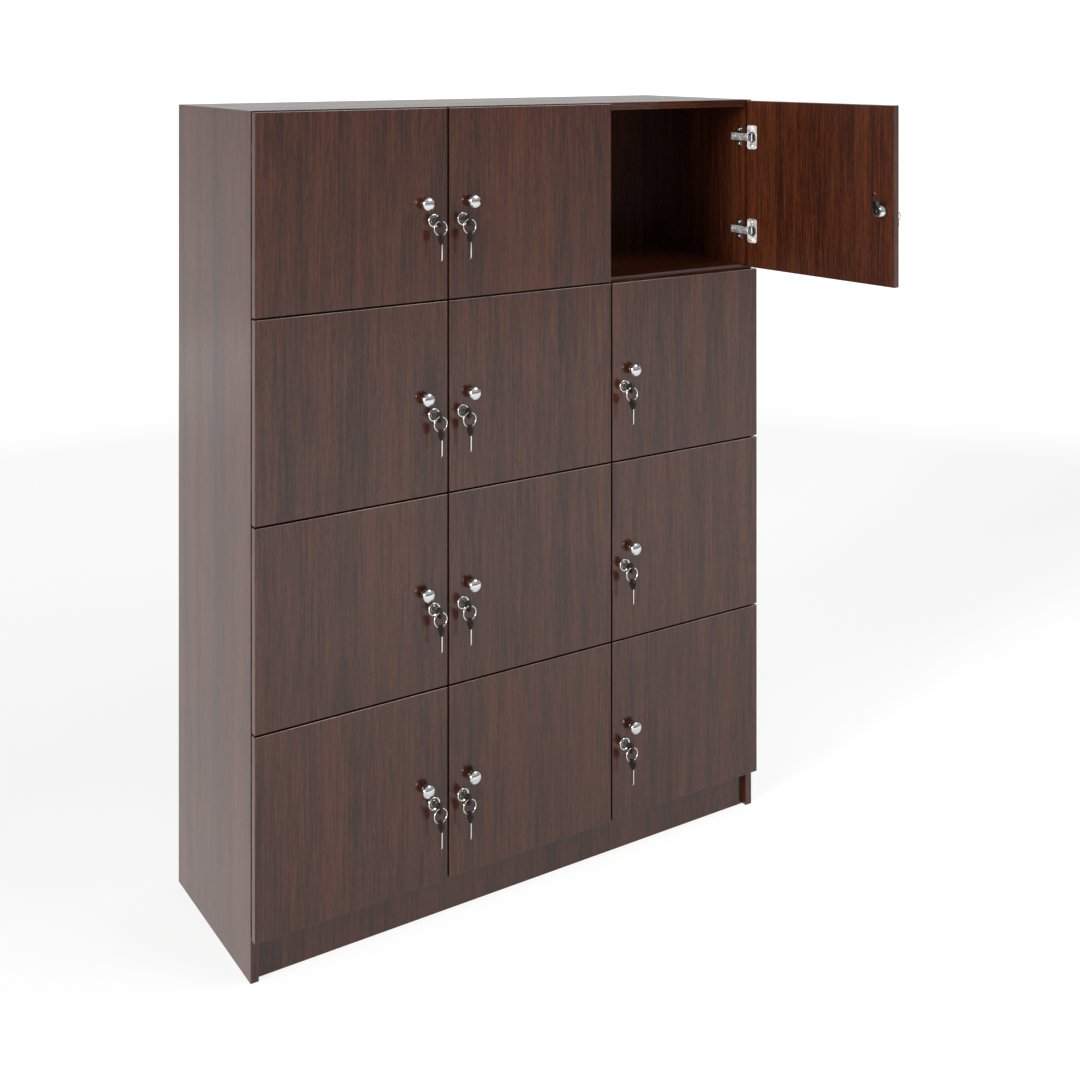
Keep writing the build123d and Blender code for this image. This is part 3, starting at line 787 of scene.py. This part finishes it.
def smooth_line(points, radius, steps=5):
    """The line with its inner corners rounded."""
    made = [points[0]]
    for i in range(1, len(points) - 1):
        a, b, c = (Vector(p) for p in points[i - 1:i + 2])
        cut = min(radius, (a - b).length * 0.45, (c - b).length * 0.45)
        start, end = b + (a - b).normalized() * cut, b + (c - b).normalized() * cut
        for k in range(steps + 1):
            t = k / steps
            made.append(tuple(start * (1 - t) ** 2 + b * 2 * t * (1 - t) + end * t ** 2))
    made.append(points[-1])
    return made


def hinge_arm(face):
    """The arm with its eye, neck and channel, and its plate with four screws."""
    shape = Shape()
    corners = arm_line(face)
    from_eye = (eye_radius + pin_radius) / 2
    neck = strip_outline([(-from_eye, -from_eye * neck_drop / neck_reach), corners[1]], neck_thickness)
    shape.prism(neck, -neck_width / 2, neck_width / 2, "z", arm_slot, 0.25, 2)
    body = strip_outline(smooth_line(corners[1:], arm_bend), neck_thickness)
    shape.prism(body, -arm_width / 2, arm_width / 2, "z", arm_slot, 0.3, 2)
    hole, half = pin_radius + eye_play, neck_width / 2
    eye = [(hole, -half), (eye_radius - 0.3, -half), (eye_radius, -half + 0.3), (eye_radius, half - 0.3),
           (eye_radius - 0.3, half), (hole, half)]
    shape.lathe(eye, (0, 0, 0), "z", arm_slot, 28)
    rear = corners[-1][0]
    for side in (-1, 1):
        near, far = side * (arm_width / 2 - arm_lip), side * arm_width / 2
        shape.block((rear, arm_crank_end, near), (rear + 1 + arm_lip_drop, arm_end, far), arm_slot, 0.3, 2)
    plate = carcass + plate_screw_from_front
    plate_face = face - plate_thickness
    half = plate_width / 2
    shape.block((plate_face, plate_front, -half), (face, plate_end, half), plate_slot, 0.5, 2)
    outline = [(plate + a, b) for a, b in rounded(wing_length, wing_span, wing_length / 2 - 0.5, 8)]
    shape.prism(outline, plate_face, face, "x", plate_slot, 0.5, 3)
    top = arm_rise - neck_thickness / 2
    half = plate_block_width / 2
    shape.block((face - top, arm_crank_end + 1, -half), (face, arm_end - 1, half), plate_slot, 0.4, 2)
    for side in (-1, 1):
        seat = (plate_face, plate, side * plate_screw_pitch / 2)
        shape.screw(seat, "x", 1, *wood_screw, arm_screw_slot, 0.5 * side)
    for place, turn in zip(arm_screw_places, (0.2, 0.9)):
        seat = (face - arm_rise - neck_thickness / 2, carcass + place, 0)
        shape.screw(seat, "x", 1, *arm_screw, arm_screw_slot, turn)
    return shape


# Scene

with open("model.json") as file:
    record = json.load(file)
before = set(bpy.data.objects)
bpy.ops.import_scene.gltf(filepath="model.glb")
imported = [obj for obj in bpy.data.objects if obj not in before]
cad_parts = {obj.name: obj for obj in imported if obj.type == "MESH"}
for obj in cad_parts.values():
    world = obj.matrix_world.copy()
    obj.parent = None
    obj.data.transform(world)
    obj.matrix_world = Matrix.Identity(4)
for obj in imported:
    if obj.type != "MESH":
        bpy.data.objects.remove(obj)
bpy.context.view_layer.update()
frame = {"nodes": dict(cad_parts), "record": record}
nodes = frame["nodes"]

chrome = metal("chrome_plate", (0.58, 0.58, 0.59), 0.06, 0.04)
nickel = metal("nickel_lock", (0.74, 0.73, 0.71), 0.12, 0.08, 0.05)
steel = metal("satin_hinge_steel", (0.92, 0.91, 0.89), 0.46, 0.20, 0.04)
plated = metal("polished_hinge_plate", (0.62, 0.61, 0.60), 0.14, 0.10, 0.08)
dark_steel = metal("dark_pin", (0.30, 0.29, 0.28), 0.35, 0.25, 0.10)
# The dark metal goes on the nut, cam, screws and hidden core. It also paints shade and dark reflection on
# the knobs' necks, the lock faces and the cups' insides.
dark_metal_and_shade = metal("dark_metal_and_painted_shade", (0.095, 0.086, 0.082), 0.22, 0.15, 0.10)
zinc = metal("zinc_screws", (0.80, 0.80, 0.80), 0.34, 0.20, 0.08)
black = plastic("key_plastic", (0.0085, 0.0065, 0.0060))
beech = bare_wood("beech")
# The doors carry the painted highlight on their rounded upper edges.
doors = [laminate(f"wenge_door_{k}", "Z", 1.0 + k, painted_edge_highlight=True) for k in range(5)]
upright = laminate("wenge_upright", "Z", 6.0)
sides = laminate("wenge_sides", "Z", 7.0, broad=0.04)
flat = laminate("wenge_flat", "X", 9.0)

slots = {piece["node"]: piece["material_slot"] for piece in frame["record"]["subparts"]}
plain = {"chrome": chrome, "lock_metal": nickel, "nickel": steel, "zinc": zinc, "beech": beech}
for name, item in nodes.items():
    if slots[name] == "laminate":
        if name.startswith("door_"):
            row, column = int(name[6]), int(name[8])
            chosen = doors[(row * 2 + column * 3) % 5]
        elif name in ("top_panel", "bottom_panel", "shelves"):
            chosen = flat
        elif name.startswith("side_panel"):
            chosen = sides
        else:
            chosen = upright
    else:
        chosen = plain.get(slots[name], black)
    item.data.materials.clear()
    item.data.materials.append(chosen)


def place(name, mesh, body, slot_name, spot_at, turn=0.0):
    """Puts a shared mesh at a place, on a body."""
    made = bpy.data.objects.new(name, mesh)
    bpy.context.scene.collection.objects.link(made)
    turned = Matrix.Rotation(math.radians(turn), 4, "Z")
    made.matrix_world = Matrix.Translation(Vector(spot_at) * MM) @ turned
    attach(made, body)
    return made


for column in (1, 2, 3):
    left, right = column_edges[column - 1], column_edges[column]
    hand = -1 if column == 1 else 1
    right_reveal = side_reveal if column == 3 else door_gap / 2
    hinge_edge = left + side_reveal if column == 1 else right - right_reveal
    pin_x = hinge_edge - hand * pin_inset
    lock_line = right if column == 1 else left
    lock_x = (lock_line + hand * lock_inset - pin_x) * hand
    upright_face = hand * side_face if column != 2 else right - board / 2
    face = (upright_face - pin_x) * hand
    mirrored = hand < 0
    fittings_mesh = door_fittings(lock_x).mesh(f"fittings_c{column}", mirrored,
                                               [chrome, nickel, steel, dark_steel, dark_metal_and_shade])
    works_mesh = lock_works(lock_x).mesh(f"lock_c{column}", mirrored, [chrome, nickel, dark_metal_and_shade, black])
    spare_mesh = spare_key(lock_x).mesh(f"spare_c{column}", mirrored, [black, nickel])
    arm_mesh = hinge_arm(face).mesh(f"arm_c{column}", mirrored, [steel, zinc, plated])
    for row in (1, 2, 3, 4):
        middle = height - (row - 0.5) * row_pitch
        tag = f"r{row}c{column}"
        at = (pin_x, pin_y, middle)
        turn = hand * open_angle if (row, column) == (1, 3) else 0.0
        fittings = place(f"fine_fittings_{tag}", fittings_mesh, f"door_{tag}_body", "chrome", at, turn)
        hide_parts(f"fittings_{tag}")
        works = place(f"fine_lock_{tag}", works_mesh, f"lock_{tag}_body", "lock_metal", at, turn)
        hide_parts(f"lock_{tag}")
        spare = place(f"fine_spare_key_{tag}", spare_mesh, f"spare_key_{tag}_body", "key_plastic", at, turn)
        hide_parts(f"spare_key_{tag}")
        for which, offset in (("low", -hinge_offset), ("high", hinge_offset)):
            at_hinge = (pin_x, pin_y, middle + offset)
            arm = place(f"fine_arm_{tag}_{which}", arm_mesh, "carcass", "nickel", at_hinge)
            if (row, column, which) == (1, 1, "low"):
                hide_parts("hinge_arms")

# Floor, light and camera

floor_mesh = bpy.data.meshes.new("floor")
corners = [(x * floor_reach, y * floor_reach, 0) for x, y in ((-1, -1), (1, -1), (1, 1), (-1, 1))]
floor_mesh.from_pydata(corners, [], [(0, 1, 2, 3)])
floor_object = bpy.data.objects.new("floor", floor_mesh)
bpy.context.scene.collection.objects.link(floor_object)
floor_colour = (0.25, 0.25, 0.25, 1.0)
floor_material, floor_tree, floor_shader = material("glowing_floor", Base_Color=floor_colour, Roughness=0.9)
floor_shader.inputs["Emission Color"].default_value = (1.0, 1.0, 1.0, 1.0)
# Painted light: the floor glows, strongest ahead of the cabinet, weaker near it and behind it, and stronger
# again towards the floor's far edges.
on_floor = node(floor_tree, "TexCoord").outputs["Object"]
depth = node(floor_tree, "SeparateXYZ", {"Vector": on_floor}).outputs["Y"]
depth = arithmetic(floor_tree, "MULTIPLY_ADD", depth, 0.5 / floor_reach, 0.5)
ahead = ramp(floor_tree, depth, [
    (0.0, (1.0,)), (0.13, (1.14,)), (0.36, (1.14,)), (0.45, (0.88,)), (0.50, (0.77,)), (0.58, (0.70,)),
])
far = node(floor_tree, "VectorMath", {0: on_floor}, operation="LENGTH").outputs["Value"]
far = arithmetic(floor_tree, "MULTIPLY", far, 1.0 / floor_reach)
around = ramp(floor_tree, far, [(0.62, (0.70,)), (0.93, (0.92,))])
glow = arithmetic(floor_tree, "MAXIMUM", ahead, around)
floor_tree.links.new(glow, floor_shader.inputs["Emission Strength"])
floor_mesh.materials.append(floor_material)


def studio(seen, mirrored, lit):
    """A white studio: how bright it is to the camera, in reflections and as light on surfaces.

    Reflections fade towards the horizon, where they show a dark broken line on the camera's side.
    """
    world = bpy.data.worlds.new("studio")
    world.use_nodes = True
    tree = world.node_tree
    direction = node(tree, "TexCoord").outputs["Generated"]
    parts = node(tree, "SeparateXYZ", {"Vector": direction}).outputs
    rays = node(tree, "LightPath").outputs
    line = ramp(tree, parts["Z"], [(0.0, (0.0,)), (0.012, (1.0,)), (0.17, (1.0,)), (0.21, (0.0,))])
    patches = ramp(tree, noise(tree, direction, 5.0, 2.0, 0.5), [(0.41, (0.0,)), (0.47, (1.0,))])
    ahead = arithmetic(tree, "MULTIPLY", parts["Y"], -1.0)
    ahead = ramp(tree, ahead, [(0.05, (0.0,)), (0.40, (1.0,))])
    line = mix(tree, 1.0, mix(tree, 1.0, line, patches, "MULTIPLY"), ahead, "MULTIPLY")
    below = arithmetic(tree, "MULTIPLY", parts["Z"], -1.0)
    fade = ramp(tree, below, [(0.0, (mirrored * 0.75,)), (0.10, (mirrored,)), (0.5, (1.3,))])
    reflected = mix(tree, line, fade, (0.02, 0.018, 0.016, 1.0))
    shown = mix(tree, rays["Is Glossy Ray"], (lit, lit, lit, 1.0), reflected)
    shown = mix(tree, rays["Is Camera Ray"], shown, (seen, seen, seen, 1.0))
    background = tree.nodes["Background"]
    tree.links.new(shown, background.inputs["Color"])
    background.inputs["Strength"].default_value = 1.0
    bpy.context.scene.world = world


studio(seen=1.2, mirrored=0.85, lit=0.55)


def lamp(name, kind, at, aim, energy, **settings):
    """A soft light at a place, aimed at a point and hidden from the camera."""
    data = bpy.data.lights.new(name, kind)
    data.energy = energy
    for key, value in settings.items():
        setattr(data, key, value)
    made = bpy.data.objects.new(name, data)
    bpy.context.scene.collection.objects.link(made)
    made.location = at
    made.rotation_euler = (Vector(aim) - Vector(at)).to_track_quat("-Z", "Y").to_euler()
    made.visible_camera = False
    return made


lamp("side_light", "SUN", (-4.8, -1.1, 2.4), (0, 0, 1.2), 3.4, angle=math.radians(22.0))
lamp("top_light", "AREA", (0.9, -1.3, 3.3), (0, 0, 1.2), 40.0, shape="RECTANGLE", size=1.6, size_y=1.1)

camera_data = bpy.data.cameras.new("camera")
camera_data.sensor_width = 36.0
camera_data.lens = camera_lens
camera_data.shift_y = camera_shift
camera_data.clip_end = 200.0
camera = bpy.data.objects.new("camera", camera_data)
bpy.context.scene.collection.objects.link(camera)
camera.location = camera_place
camera.rotation_euler = (math.radians(90.0), 0.0, math.radians(camera_heading))
bpy.context.scene.camera = camera
bpy.context.scene.view_settings.view_transform = "Standard"
bpy.context.scene.view_settings.look = "None"
